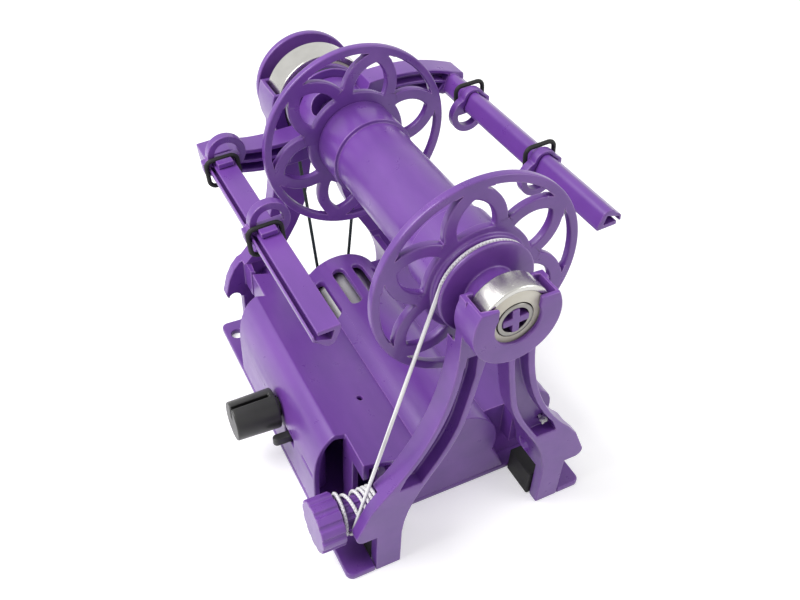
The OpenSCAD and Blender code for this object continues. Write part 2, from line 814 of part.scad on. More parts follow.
module bobbin_tube() {
    color(purple)
    difference() {
        union() {
            rod_y(core_r, tube_y0 + fit, tube_y1 - fit);
            rod_y(core_r + collar_rise, tube_y0 + fit, tube_y0 + collar_l);
            rod_y(core_r + collar_rise, tube_y1 - collar_l, tube_y1 - fit);
        }
        rod_y(core_r - core_wall, tube_y0 - 1, tube_y1 + 1);
    }
}

module brake_flange() {
    mid = pulley_w / 2;
    lip = 1.1;
    color(purple)
    union() {
        flange_disc(near_flange_y);
        tube_y(core_r - core_wall - fit, bobbin_bore_r, tube_y0 - 0.5, tube_y0 + plug_l);
        tube_y(boss_r, bobbin_bore_r, boss_y, pulley_y + 1);
        turned()
            polygon([[bobbin_bore_r, pulley_y], [pulley_r - 0.6, pulley_y], [pulley_r, pulley_y + 0.5],
                [pulley_r, pulley_y + lip], [pulley_r - pulley_groove, pulley_y + mid - 0.5],
                [pulley_r - pulley_groove, pulley_y + mid + 0.5], [pulley_r, pulley_y + pulley_w - lip],
                [pulley_r, near_flange_y + 0.5], [bobbin_bore_r, near_flange_y + 0.5]]);
    }
}

module far_flange() {
    color(purple)
    union() {
        flange_disc(tube_y1);
        tube_y(core_r - core_wall - fit, bobbin_bore_r, tube_y1 - plug_l, tube_y1 + 0.5);
    }
}

// Flyer: the spindle, hub, cross arm and arms that wind yarn onto the bobbin
yarn_hole_y = hub_y + 4.4;
yarn_hole_angle = 130;
spindle_end = yarn_hole_y - 0.9 - gap;
tube_r = fb_bore / 2 - 0.02;
module turned_flyer() {
    rotate_about_axis(flyer_turn)
        children();
}

module flyer_spindle() {
    tip_d = nb_bore - 0.06;
    color(purple)
    turned_flyer()
    intersection() {
        union() {
            rod_y(spindle_d / 2, nb_y + nb_w + 0.05, spindle_end);
            rod_y(tip_d / 2, nb_y - 0.3, nb_y + nb_w + 0.1);
        }
        union() {
            translate([-spindle_rib / 2, nb_y - 1, axis_z - spindle_d])
                cube([spindle_rib, hub_y + 10 - nb_y, 2 * spindle_d]);
            translate([-spindle_d, nb_y - 1, axis_z - spindle_rib / 2])
                cube([2 * spindle_d, hub_y + 10 - nb_y, spindle_rib]);
        }
    }
}

module yarn_hole() {
    rotate_about_axis(yarn_hole_angle)
        translate([0, yarn_hole_y + yarn_hole_d / 2, axis_z])
            rotate([0, 90, 0])
                cylinder(d = yarn_hole_d, h = hub_r + 5);
}

// Section of an arm: a flat top over a keel, with a groove between the top and an outer lip
arm_top = 2;
arm_lip = 0.7;
lip_top = 1;
function arm_outline(g) = let (x0 = -arm_w / 2 - g, x1 = arm_w / 2 + g, low = arm_top - arm_h, lip = arm_groove + arm_lip)
    concat([[x0 - lip, -0.9], [x0 - lip, lip_top + g], [x0, lip_top + g], [x0, arm_top + g], [x1, arm_top + g],
        [x1, arm_top - arm_top_t]],
        curve([x1 - 1.6, low + 1.8], [x1 - 2.4, low - g], [x0 + 2, low - g - 0.3], [x0 + 0.6, low + 2], 8));

module arm_section() {
    under = arm_top - arm_top_t;
    groove_x = -arm_w / 2 - arm_groove;
    difference() {
        polygon(arm_outline(0));
        polygon([[groove_x, lip_top + 1], [-arm_w / 2, lip_top + 1], [-arm_w / 2, under], [arm_w / 2 - 2.1, under],
            [arm_w / 2 - 3.2, under - 2.8], [groove_x, -0.6]]);
    }
}

module arm_place(s) {
    rotate_about_axis(s > 0 ? 180 : 0)
        translate([-arm_r, 0, axis_z - 0.6])
            children();
}

// The hub, an S-shaped cross arm with two channels in its near face, and the arms are one moulding
cross_end = arm_r + arm_w / 2 + arm_groove + arm_lip;
function mix4(a, b, c, d, t) = let (u = 1 - t) u * u * u * a + 3 * u * u * t * b + 3 * u * t * t * c + t * t * t * d;
function cross_high(t) = mix4([12, cross_top], [27, cross_top + 0.9], [37, 9], [cross_end, 4], t);
function cross_low(t) = mix4([8, 1.6], [27, 2.2], [34, 1], [cross_end - 8.4, -2.2], t);
function cross_at(t, w) = (1 - w) * cross_low(t) + w * cross_high(t);

module cross_half() {
    polygon(concat([for (i = [0:16]) cross_high(i / 16)], [[cross_end, -2.2]],
        [for (i = [16:-1:0]) cross_low(i / 16)]));
}

module cross_channel(w0, w1) {
    polygon(concat([for (i = [0:12]) cross_at(0.2 + i * 0.055, w0)],
        [for (i = [12:-1:0]) cross_at(0.2 + i * 0.055, w1)]));
}

module flyer() {
    color(purple)
    difference() {
        turned_flyer()
        difference() {
            union() {
                rod_y(hub_r, hub_y, cross_y + cross_w);
                for (s = [-1, 1]) {
                    rotate_about_axis(s > 0 ? 0 : 180)
                        along_y(cross_y, cross_y + cross_w)
                            translate([0, axis_z])
                                cross_half();
                    arm_place(s)
                        along_y(tip_y, cross_y + 0.5)
                            arm_section();
                }
            }
            for (s = [0, 180], w = [0.17, 0.57])
                rotate_about_axis(s)
                    along_y(cross_y - 1, cross_y + channel_d)
                        translate([0, axis_z])
                            cross_channel(w, w + 0.27);
            rod_y(tube_r + 0.03, yarn_hole_y - 1, cross_y + cross_w + 1);
            rod_y(spindle_d / 2 + 0.03, hub_y - 1, spindle_end + 0.05);
        }
        yarn_hole();
    }
}

module drive_whorl() {
    bottom = whorl_r - whorl_groove;
    color(purple)
    turned()
        polygon([[tube_r + 0.03, whorl_y], [whorl_r, whorl_y], [whorl_r, whorl_y + 0.9],
            [bottom, whorl_y + whorl_w / 2 - 0.7], [bottom, whorl_y + whorl_w / 2 + 0.7],
            [whorl_r, whorl_y + whorl_w - 0.9], [whorl_r, whorl_y + whorl_w], [tube_r + 0.03, whorl_y + whorl_w]]);
}

module orifice_tube() {
    color(purple)
    difference() {
        union() {
            rod_y(tube_r, yarn_hole_y - 0.9, disc_y + 1);
            rod_y(disc_r, disc_y, disc_y + disc_t);
            rod_y(tube_r + 1.6, fb_end + 0.2, disc_y + 0.5);
        }
        rod_y(orifice_d / 2, yarn_hole_y + 0.6, disc_y + disc_t + 1);
        yarn_hole();
    }
}

// Sliding hooks: each has a collar round the arm with an eye for the yarn, and a saddle
// that a rubber ring holds down on the arm; the right ones face the other way
hook_y = [hook_1_y, hook_2_y, hook_3_y, hook_4_y];
slide_gap = 0.25;
saddle_t = 0.7;
collar_y0 = o_ring_d / 2 + 0.15;
eye_clear = 2.9;
eye_at = [arm_r - flange_r - eye_r - eye_clear, 3.8];

module at_arm(i) {
    turned_flyer()
        arm_place(i > 1 ? 1 : -1)
            translate([0, hook_y[i], 0])
                mirror([0, i > 1 ? 1 : 0, 0])
                    children();
}

module sliding_hook(i) {
    saddle_z = arm_top + slide_gap;
    color(purple)
    at_arm(i)
    difference() {
        union() {
            along_y(collar_y0, collar_y0 + collar_t) {
                polygon(arm_outline(slide_gap + 1.4));
                translate(eye_at)
                    circle(eye_r);
            }
            translate([-2.7, -3.7, saddle_z])
                cube([5.2, 3.7 + collar_y0 + 0.5, saddle_t]);
            translate([-2.7, -3.7, saddle_z])
                cube([5.2, 3.7 - collar_y0, saddle_t + 1]);
        }
        along_y(-5, collar_y0 + collar_t + 1)
            polygon(arm_outline(slide_gap));
        along_y(collar_y0 - 1, collar_y0 + collar_t + 1)
            difference() {
                translate(eye_at)
                    circle(eye_r - eye_wall);
                translate([-8, saddle_z - 3])
                    square([16, 3 + saddle_t]);
            }
    }
}

// The rubber ring is stretched to a rounded rectangle round arm and saddle
function ring_loop() = let (r = 2.2, d = o_ring_d / 2 + 0.06,
    x0 = -arm_w / 2 - arm_groove - arm_lip - d - 0.14, x1 = arm_w / 2 + d + 0.4,
    z0 = arm_top - arm_h - 0.3 - d, z1 = arm_top + slide_gap + saddle_t + d,
    corners = [[x1 - r, z1 - r, 0], [x0 + r, z1 - r, 90], [x0 + r, z0 + r, 180], [x1 - r, z0 + r, 270]])
    [for (c = corners, k = [0:5]) [c[0] + r * cos(c[2] + 18 * k), 0, c[1] + r * sin(c[2] + 18 * k)]];

module hook_o_ring(i) {
    color(black)
    at_arm(i)
        cord_tube(ring_loop(), o_ring_d, 12, true);
}

module sliding_hook_1() { sliding_hook(0); }
module sliding_hook_2() { sliding_hook(1); }
module sliding_hook_3() { sliding_hook(2); }
module sliding_hook_4() { sliding_hook(3); }
module hook_o_ring_1() { hook_o_ring(0); }
module hook_o_ring_2() { hook_o_ring(1); }
module hook_o_ring_3() { hook_o_ring(2); }
module hook_o_ring_4() { hook_o_ring(3); }

// Motor, its pulley and the elastic drive band
motor_face_y = shell_far_y - shell_wall - 0.05;
motor_pulley_w = 5.4;
module motor() {
    color(steel)
    difference() {
        union() {
            rod_y(motor_r, motor_face_y - motor_l, motor_face_y, motor_x, motor_z);
            rod_y(5, motor_face_y - 0.5, motor_face_y + 2, motor_x, motor_z);
            rod_y(5, motor_face_y - motor_l - 2.4, motor_face_y - motor_l + 1, motor_x, motor_z);
        }
        rod_y(motor_shaft_r + run, motor_face_y - motor_l - 4, motor_face_y + 3, motor_x, motor_z);
        for (s = [-1, 1])
            rod_y(motor_screw_r + 0.02, motor_face_y - 4, motor_face_y + 1,
                motor_x + s * motor_screw_pitch, motor_z);
    }
}

module motor_shaft() {
    color(steel)
    rod_y(motor_shaft_r, motor_face_y - motor_l - 3.4, band_y + motor_pulley_w / 2 + 0.5, motor_x, motor_z);
}

module motor_pulley() {
    y0 = band_y - motor_pulley_w / 2;
    bottom = motor_pulley_r - 1.7;
    color(steel)
    turned(motor_x, motor_z)
        polygon([[motor_shaft_r + 0.01, y0], [motor_pulley_r, y0], [motor_pulley_r, y0 + 1],
            [bottom, band_y - 0.7], [bottom, band_y + 0.7],
            [motor_pulley_r, y0 + motor_pulley_w - 1], [motor_pulley_r, y0 + motor_pulley_w],
            [motor_shaft_r + 0.01, y0 + motor_pulley_w]]);
}

module drive_band() {
    top_r = whorl_r - whorl_groove + band_d / 2 + gap;
    low_r = motor_pulley_r - 1.7 + band_d / 2 + gap;
    c1 = [0, axis_z];
    c2 = [motor_x, motor_z];
    d = norm(c1 - c2);
    lean = atan2(c1[0] - c2[0], c1[1] - c2[1]);
    open = acos((top_r - low_r) / d);
    function on(c, r, a) = [c[0] + r * sin(a + lean), band_y, c[1] + r * cos(a + lean)];
    side_steps = 5;
    top_arc = [for (i = [0:14]) on(c1, top_r, -(180 - open) + i * (360 - 2 * open) / 14)];
    right_run = [for (i = [1:side_steps - 1]) let (t = i / side_steps)
        (1 - t) * on(c1, top_r, 180 - open) + t * on(c2, low_r, 180 - open)];
    low_arc = [for (i = [0:8]) on(c2, low_r, 180 - open + i * 2 * open / 8)];
    left_run = [for (i = [1:side_steps - 1]) let (t = i / side_steps)
        (1 - t) * on(c2, low_r, 180 + open) + t * on(c1, top_r, -(180 - open))];
    color("darkslategray")
    cord_tube(concat(top_arc, right_run, low_arc, left_run), band_d, 8, true);
}

// Brake: a cord anchored in the right leg, over the pulley and wound on a turning peg
peg_y = near_y + peg_in;
peg_knob_x = -side + 1;
peg_wall_x = -foot_in - side_wall - 0.8;
module tension_peg() {
    ribs = 12;
    core = peg_d / 2 - 0.5;
    color(purple)
    difference() {
        union() {
            rod_x(tension_knob_d / 2, peg_knob_x - tension_knob_l, peg_knob_x, peg_y, peg_z);
            rod_x(core, peg_knob_x - 0.5, peg_wall_x, peg_y, peg_z);
            for (i = [0:ribs - 1])
                translate([0, peg_y, peg_z])
                    rotate([i * 360 / ribs, 0, 0])
                        translate([peg_knob_x - 0.5, -0.45, core - 0.5])
                            cube([peg_wall_x - peg_knob_x + 0.5, 0.9, 1]);
            rod_x(peg_pin_d / 2, peg_wall_x - 1, -foot_in + 3.5, peg_y, peg_z);
        }
        for (i = [0:tension_flutes - 1])
            translate([0, peg_y, peg_z])
                rotate([(i + 0.5) * 360 / tension_flutes, 0, 0])
                    rod_x(1.1, peg_knob_x - tension_knob_l - 1, peg_knob_x + 1, 0, tension_knob_d / 2 + 0.45);
    }
}

cord_r_pulley = pulley_r - pulley_groove + cord_d / 2 + gap;
cord_y = pulley_y + pulley_w / 2;
wind_r = peg_d / 2 + cord_d / 2 + 0.5;
wind_steps = 9;
wind_at = [0.93, 0.83, 0.73, 0.63, 0.43, 0.06];
leave_at = 0.24;
knot_y = near_y + 2.6;
bend_r = 2.4;
bend_y = near_y + leg_d + 0.8;

function shaft_x(t) = peg_knob_x + t * (peg_wall_x - peg_knob_x);
function around(x, r, a) = [x, peg_y + r * cos(a), peg_z + r * sin(a)];
// From the leg end: turns round the peg, a last one back over them, and straight up to the pulley
turns = [for (k = [0:len(wind_at) - 2], i = [0:wind_steps - 1]) let (t = i / wind_steps)
    around(shaft_x(wind_at[k] + (wind_at[k + 1] - wind_at[k]) * t), wind_r, 180 - 360 * t)];
lap = [for (i = [0:12]) let (t = i / 12)
    around(shaft_x(wind_at[5] + (leave_at - wind_at[5]) * t), wind_r + (cord_d + 0.2) * sin(180 * t), 180 - 360 * t)];
left_lean = atan2(peg_z - axis_z, shaft_x(leave_at)) + 360;
on_angle = left_lean - acos(cord_r_pulley / norm([peg_z - axis_z, shaft_x(leave_at)]));
right_lean = atan2(anchor_z + bend_r - axis_z, anchor_x);
off_angle = right_lean + acos(cord_r_pulley / norm([anchor_z + bend_r - axis_z, anchor_x]));
over_pulley = [for (i = [0:12]) let (a = on_angle - i * (on_angle - off_angle) / 12)
    [cord_r_pulley * cos(a), cord_y, axis_z + cord_r_pulley * sin(a)]];
down_run = concat([for (b = [90:-22.5:0])
    [anchor_x, bend_y + bend_r * sin(b), anchor_z + bend_r * (1 - cos(b))]], [[anchor_x, knot_y + 1, anchor_z]]);

module brake_cord() {
    color("white")
    union() {
        cord_tube(concat(turns, lap, over_pulley, down_run), cord_d, 8, false);
        translate([anchor_x, knot_y, anchor_z])
            sphere(r = 1.5, $fn = 24);
    }
}

// Controls on the left side, the board inside and the power inlet on the right
knob_x = -side - 0.7;
module speed_knob() {
    color(black)
    difference() {
        union() {
            translate([knob_x - speed_knob_l, speed_y, speed_z])
                rotate([0, 90, 0])
                    cylinder(r1 = speed_knob_d / 2 * 0.95, r2 = speed_knob_d / 2, h = speed_knob_l);
        }
        // Pointer groove
        translate([knob_x - speed_knob_l - 1, speed_y - 0.6, speed_z + 1.5])
            cube([speed_knob_l - 1, 1.2, speed_knob_d]);
        rod_x(3 + 0.01, knob_x - speed_knob_l + 3, knob_x + 1, speed_y, speed_z);
    }
}

module potentiometer_shaft() {
    color(steel)
    rod_x(3, knob_x - speed_knob_l + 3.1, -side + shell_wall + 4, speed_y, speed_z);
}

module potentiometer() {
    inner_x = -shell_side + shell_wall + 0.1;
    color(steel)
    difference() {
        union() {
            translate([inner_x + 1.3, speed_y - 4.75, speed_z - 4.75])
                cube([7, 9.5, 9.5]);
            rod_x(bushing_r, -side - 0.4, inner_x + 2, speed_y, speed_z);
        }
        rod_x(3 + run, -side - 5, -side + shell_wall + 4.2, speed_y, speed_z);
    }
}

module switch_body() {
    inner_x = -shell_side + shell_wall + 0.1;
    hw = switch_travel + slider_w / 2 + 1.2;
    color(steel)
    difference() {
        translate([inner_x + 0.3, switch_y - hw, switch_z - 3.4])
            cube([4.7, 2 * hw, 6.8]);
        translate([inner_x - 1, switch_y - hw + 0.8, switch_z - slider_w / 2 - gap])
            cube([3.2, 2 * hw - 1.6, slider_w + 2 * gap]);
    }
}

module switch_slider() {
    color(black)
    union() {
        translate([-side - slider_out + slider_w / 2, switch_y - slider_w / 2, switch_z - slider_w / 2])
            cube([slider_out - slider_w / 2 + shell_wall + 2, slider_w, slider_w]);
        rod_z(slider_w / 2, switch_z - slider_w / 2, switch_z + slider_w / 2, -side - slider_out + slider_w / 2, switch_y);
    }
}

board_z = 7;
module control_board() {
    color("darkgreen")
    union() {
        translate([9 - side, -12, board_z])
            cube([11, 44, 1.6]);
        translate([11 - side, 2, board_z + 1.5])
            cube([6, 8, 3]);
        rod_z(3, board_z + 1.5, board_z + 9, 14 - side, 20);
        for (y = [-8, 28])
            rod_z(1.6, plate_t, board_z + 0.1, 14 - side, y);
    }
}

module power_inlet() {
    x1 = shell_side - shell_wall - 0.1;
    color(black)
    difference() {
        union() {
            rod_x(jack_d / 2 + 1.1, x1 - 1, side - 0.1, jack_y, 12);
            translate([x1 - 11, jack_y - 4.5, 12 - 5])
                cube([11, 9, 10]);
        }
        rod_x(jack_d / 2, x1 - 8, side + 1, jack_y, 12);
    }
}

// Feet and screws
module rubber_feet() {
    depth = end_gap - foot_t - 0.6;
    width = foot_out - foot_in + 0.9;
    color(black)
    for (sx = [-1, 1], sy = [-1, 1])
        translate([sx > 0 ? foot_in - 1.1 : -foot_in + 1.1 - width, sy > 0 ? far_y - foot_t - 0.3 - depth
            : near_y + foot_t + 0.3, 0])
            cube([width, depth, peg_z - wind_r - 2 * cord_d - 0.8]);
}

module base_screws() {
    color(steel)
    for (p = screw_spots) {
        rod_z(base_screw_r, screw_head_t - 0.1, plate_t + 9, p[0], p[1]);
        rod_z(screw_head_r, 0.1, screw_head_t, p[0], p[1]);
    }
}

module maiden_screws() {
    color(steel)
    for (s = [-1, 1]) {
        rod_y(maiden_screw_r, nose_y - 6, nose_y + shell_wall + 1, s * seat_x, maiden_screw_z);
        rod_y(maiden_screw_r, shell_far_y - shell_wall - 1, shell_far_y + 6, s * seat_x, maiden_screw_z);
    }
}

module motor_screws() {
    color(steel)
    for (s = [-1, 1]) {
        rod_y(motor_screw_r, motor_face_y - 3.5, shell_far_y + 0.2, motor_x + s * motor_screw_pitch, motor_z);
        rod_y(2.3, shell_far_y + 0.05, shell_far_y + 1.6, motor_x + s * motor_screw_pitch, motor_z);
    }
}

base_plate();
base_shell();
near_maiden();
far_maiden();
near_bearing_outer_ring();
near_bearing_inner_ring();
near_bearing_balls();
near_bearing_shields();
far_bearing_outer_ring();
far_bearing_inner_ring();
far_bearing_balls();
far_bearing_shields();
bobbin_tube();
brake_flange();
far_flange();
flyer();
flyer_spindle();
drive_whorl();
orifice_tube();
sliding_hook_1();
sliding_hook_2();
sliding_hook_3();
sliding_hook_4();
hook_o_ring_1();
hook_o_ring_2();
hook_o_ring_3();
hook_o_ring_4();
motor();
motor_shaft();
motor_pulley();
drive_band();
brake_cord();
tension_peg();
speed_knob();
potentiometer_shaft();
potentiometer();
switch_body();
switch_slider();
control_board();
power_inlet();
rubber_feet();
base_screws();
maiden_screws();
motor_screws();
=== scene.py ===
import json
import math

import bmesh
import bpy
from mathutils import Matrix, Vector
from mathutils.kdtree import KDTree

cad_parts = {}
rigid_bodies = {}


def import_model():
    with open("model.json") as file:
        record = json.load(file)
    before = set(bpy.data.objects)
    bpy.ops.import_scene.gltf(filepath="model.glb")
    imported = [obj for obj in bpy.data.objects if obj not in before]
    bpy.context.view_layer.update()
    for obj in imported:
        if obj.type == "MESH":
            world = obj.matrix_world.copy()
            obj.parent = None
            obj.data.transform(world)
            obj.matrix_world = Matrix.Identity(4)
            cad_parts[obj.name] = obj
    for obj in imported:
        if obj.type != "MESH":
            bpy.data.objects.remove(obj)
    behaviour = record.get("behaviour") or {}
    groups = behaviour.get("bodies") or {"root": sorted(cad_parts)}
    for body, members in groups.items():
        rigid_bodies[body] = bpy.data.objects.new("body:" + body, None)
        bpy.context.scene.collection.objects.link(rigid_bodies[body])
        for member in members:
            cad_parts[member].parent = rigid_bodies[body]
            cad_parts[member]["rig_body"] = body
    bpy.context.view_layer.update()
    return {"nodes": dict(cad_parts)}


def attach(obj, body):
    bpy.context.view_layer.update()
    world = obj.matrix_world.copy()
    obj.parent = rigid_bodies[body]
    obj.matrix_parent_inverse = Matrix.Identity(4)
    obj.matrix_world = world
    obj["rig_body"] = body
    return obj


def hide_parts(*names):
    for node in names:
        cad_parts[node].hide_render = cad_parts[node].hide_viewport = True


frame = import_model()
nodes = frame["nodes"]
mm = 0.001

# ---------------------------------------------------------------- base plate
# The floor of the wheel: one flat injection moulding in violet plastic, open
# between the feet at each end, with two round holes at the far corners.
# The mould leaves small rounded edges and a fine, slightly uneven satin skin.


def socket(tree, name, way, value=None):
    made = tree.interface.new_socket(name=name, in_out=way, socket_type="NodeSocketFloat")
    if value is not None:
        made.default_value = value


def add(tree, kind, **values):
    made = tree.nodes.new(kind)
    for name, value in values.items():
        setattr(made, name, value)
    return made


def join(tree, start, end):
    """Gives an input a plain number, or what another node puts out."""
    if isinstance(start, (int, float)):
        end.default_value = start
    else:
        tree.links.new(start, end)


def reckon(tree, operation, *values):
    """The result of one operation on numbers, or on what other nodes put out."""
    made = add(tree, "ShaderNodeMath", operation=operation)
    for place, value in enumerate(values):
        join(tree, value, made.inputs[place])
    return made.outputs[0]


def noise(tree, where, scale, detail, roughness=0.5):
    made = add(tree, "ShaderNodeTexNoise")
    for name, value in (("Vector", where), ("Scale", scale), ("Detail", detail),
                        ("Roughness", roughness)):
        join(tree, value, made.inputs[name])
    return made.outputs[0]


def drift(tree, value, low, low_colour, high, high_colour):
    """A colour that goes from one to the other as the value rises from low to high."""
    made = add(tree, "ShaderNodeValToRGB")
    ends = zip(made.color_ramp.elements, (low, high), (low_colour, high_colour))
    for element, position, colour in ends:
        element.position = position
        element.color = (*colour, 1)
    join(tree, value, made.inputs[0])
    return made.outputs[0]


def spread(tree, value, first, last, start=0.0, end=1.0, way="LINEAR"):
    """A value between start and end, turned into one between first and last."""
    made = add(tree, "ShaderNodeMapRange", interpolation_type=way)
    for name, given in (("Value", value), ("From Min", start), ("From Max", end),
                        ("To Min", first), ("To Max", last)):
        join(tree, given, made.inputs[name])
    return made.outputs["Result"]


def relief(tree, shader, height, strength, depth):
    """Raises and sinks the skin by the height."""
    made = add(tree, "ShaderNodeBump")
    for name, value in (("Height", height), ("Strength", strength), ("Distance", depth)):
        join(tree, value, made.inputs[name])
    join(tree, made.outputs[0], shader.inputs["Normal"])


def edge_wear_and_highlight():
    """Puts out 0 on a flat face and 1 on a rounded edge, broken up by noise; the paler colour it
    brings in is partly handling wear and partly a painted highlight.
    """
    tree = bpy.data.node_groups.new("edge_wear_and_highlight", "ShaderNodeTree")
    socket(tree, "Width", "INPUT", 0.6 * mm)
    socket(tree, "Mask", "OUTPUT")
    start = add(tree, "NodeGroupInput")
    end = add(tree, "NodeGroupOutput")
    soft = add(tree, "ShaderNodeBevel", samples=4)
    join(tree, start.outputs["Width"], soft.inputs["Radius"])
    plain = add(tree, "ShaderNodeNewGeometry")
    agree = add(tree, "ShaderNodeVectorMath", operation="DOT_PRODUCT")
    join(tree, soft.outputs[0], agree.inputs[0])
    join(tree, plain.outputs["Normal"], agree.inputs[1])
    place = add(tree, "ShaderNodeTexCoord").outputs["Object"]
    patchy = noise(tree, place, 420, 3)
    rounding = reckon(tree, "SUBTRACT", 1.0, agree.outputs["Value"])
    broken = reckon(tree, "MULTIPLY", reckon(tree, "MULTIPLY", rounding, 9.0), patchy)
    made = add(tree, "ShaderNodeClamp")
    join(tree, broken, made.inputs["Value"])
    join(tree, made.outputs[0], end.inputs["Mask"])
    return tree


def mould_skin():
    """Fine grain, slow flow marks and a tone that drifts across a moulding."""
    tree = bpy.data.node_groups.new("mould_skin", "ShaderNodeTree")
    socket(tree, "Grain", "INPUT", 2600)
    for name in ("Height", "Tone", "Dull"):
        socket(tree, name, "OUTPUT")
    start = add(tree, "NodeGroupInput")
    end = add(tree, "NodeGroupOutput")
    place = add(tree, "ShaderNodeTexCoord").outputs["Object"]
    grain = noise(tree, place, start.outputs["Grain"], 3)
    drawn = add(tree, "ShaderNodeMapping")
    drawn.inputs["Scale"].default_value = (90, 26, 90)
    join(tree, place, drawn.inputs["Vector"])
    flow = noise(tree, drawn.outputs[0], 1.0, 4, 0.55)
    smudge = noise(tree, place, 150, 5, 0.6)
    height = reckon(tree, "ADD", grain, reckon(tree, "MULTIPLY", flow, 3.0))
    dull = reckon(tree, "ADD", smudge, reckon(tree, "MULTIPLY", grain, 0.25))
    join(tree, height, end.inputs["Height"])
    join(tree, flow, end.inputs["Tone"])
    join(tree, dull, end.inputs["Dull"])
    return tree


edge_wear_and_highlight_group = edge_wear_and_highlight()
skin_group = mould_skin()


def new_finish(name):
    """A fresh material, its node tree and its shader."""
    made = bpy.data.materials.new(name)
    made.use_nodes = True
    return made, made.node_tree, made.node_tree.nodes["Principled BSDF"]


def plastic(name, dark, mid, worn_highlit_edge, gloss, coat=0.0, worn_highlit_edge_width=0.6 * mm, grain=2600, bump=0.03):
    """Moulded plastic: a drifting tone, a fine skin, and paler edges, partly handling wear and
    partly a painted highlight.
    """
    made, tree, shader = new_finish(name)
    skin = add(tree, "ShaderNodeGroup", node_tree=skin_group)
    skin.inputs["Grain"].default_value = grain
    edge = add(tree, "ShaderNodeGroup", node_tree=edge_wear_and_highlight_group)
    edge.inputs["Width"].default_value = worn_highlit_edge_width
    mixed = add(tree, "ShaderNodeMix", data_type="RGBA")
    join(tree, edge.outputs["Mask"], mixed.inputs["Factor"])
    join(tree, drift(tree, skin.outputs["Tone"], 0.3, dark, 0.72, mid), mixed.inputs["A"])
    # The edge colour is partly handling wear and partly a painted highlight where rounded edges
    # catch the light.
    mixed.inputs["B"].default_value = (*worn_highlit_edge, 1)
    join(tree, mixed.outputs["Result"], shader.inputs["Base Color"])
    rough = spread(tree, skin.outputs["Dull"], gloss - 0.05, gloss + 0.09, 0.35, 0.9)
    join(tree, rough, shader.inputs["Roughness"])
    shader.inputs["Coat Weight"].default_value = coat
    shader.inputs["Coat Roughness"].default_value = 0.18
    relief(tree, shader, skin.outputs["Height"], bump, 0.1 * mm)
    return made


def crowded(edges, radius):
    """Edges that stay sharp, because a rounding there would run into the next one.

    They run side by side, closer than two roundings, or meet at a sharp corner.
    """
    reach = 1.9 * radius
    most_in_line, least_parallel = 0.8, 0.6
    sharpest_corner = math.cos(math.radians(48))
    points = []
    for place, edge in enumerate(edges):
        start, end = (v.co for v in edge.verts)
        way = (end - start).normalized()
        parts = max(1, int((end - start).length / radius))
        points += [(start.lerp(end, i / parts), way, place) for i in range(parts + 1)]
    near = KDTree(len(points))
    for number, point in enumerate(points):
        near.insert(point[0], number)
    near.balance()
    tight = set()
    for at, way, place in points:
        for there, number, gap in near.find_range(at, reach):
            other_way, other = points[number][1:]
            if other == place or gap < 1e-7:
                continue
            across = (there - at) / gap
            in_line = max(abs(across.dot(way)), abs(across.dot(other_way)))
            if in_line < most_in_line and abs(way.dot(other_way)) > least_parallel:
                tight.update((place, other))
    order = {edge: place for place, edge in enumerate(edges)}
    for edge, place in order.items():
        for corner in edge.verts:
            away = (edge.other_vert(corner).co - corner.co).normalized()
            for other in corner.link_edges:
                if other is edge or other not in order:
                    continue
                other_away = (other.other_vert(corner).co - corner.co).normalized()
                if away.dot(other_away) > sharpest_corner:
                    tight.update((place, order[other]))
    return {edge for edge, place in order.items() if place in tight}


def placed(name, data):
    made = bpy.data.objects.new(name, data)
    bpy.context.scene.collection.objects.link(made)
    return made


def moulded(node, finish, radius, steps=2, least=34):
    """A piece with the node's own form, its edges sharper than least rounded to the radius."""
    form = bmesh.new()
    form.from_mesh(nodes[node].data)
    bmesh.ops.remove_doubles(form, verts=form.verts, dist=0.003 * mm)
    sharp = [e for e in form.edges
             if e.is_manifold and e.calc_face_angle(0) > math.radians(least)]
    kept = crowded(sharp, radius)
    bmesh.ops.bevel(form, geom=[e for e in sharp if e not in kept], offset=radius,
                    offset_type="OFFSET", segments=steps, profile=0.5, affect="EDGES",
                    material=-1, clamp_overlap=False)
    bmesh.ops.triangulate(form, faces=[f for f in form.faces if len(f.verts) > 4])
    for face in form.faces:
        face.smooth = True
        face.material_index = 0
    for edge in form.edges:
        edge.smooth = not edge.is_manifold or edge.calc_face_angle(0) < math.radians(50)
    mesh = bpy.data.meshes.new(node + "_moulding")
    form.to_mesh(mesh)
    form.free()
    mesh.materials.append(finish)
    piece = placed(node + "_moulding", mesh)
    piece.modifiers.new("even_shading", "WEIGHTED_NORMAL").keep_sharp = True
    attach(piece, nodes[node]["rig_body"])
    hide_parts(node)
    return piece


# The third colour is the paler edge colour: partly wear, partly a painted highlight.
violet = plastic("violet_plastic", (0.125, 0.041, 0.265), (0.172, 0.056, 0.335),
                 (0.36, 0.18, 0.50), 0.3, coat=0.12)
moulded("base_plate", violet, 0.5 * mm)

# ------------------------------------------------------------------- housing
# The cover over the motor and electronics: one thin-walled violet moulding
# with a ridge on the left, a rounded vented hood over the motor and an open
# pointed arch at its near end. Four screws hold it from below.
moulded("base_shell", violet, 0.45 * mm)

# ------------------------------------------------------------------- maidens
# The two uprights that carry the bearings. Each is one violet moulding with
# curved channel-shaped legs that swell into hooked feet, and the near one
# has an open cradle with a lip that keeps its bearing in.
moulded("near_maiden", violet, 0.45 * mm)
moulded("far_maiden", violet, 0.45 * mm)

# --------------------------------------------------------------- rubber feet
# Four black rubber blocks pressed between the feet of the uprights and the
# plate, cut from sheet, with a dull and slightly dusty surface.


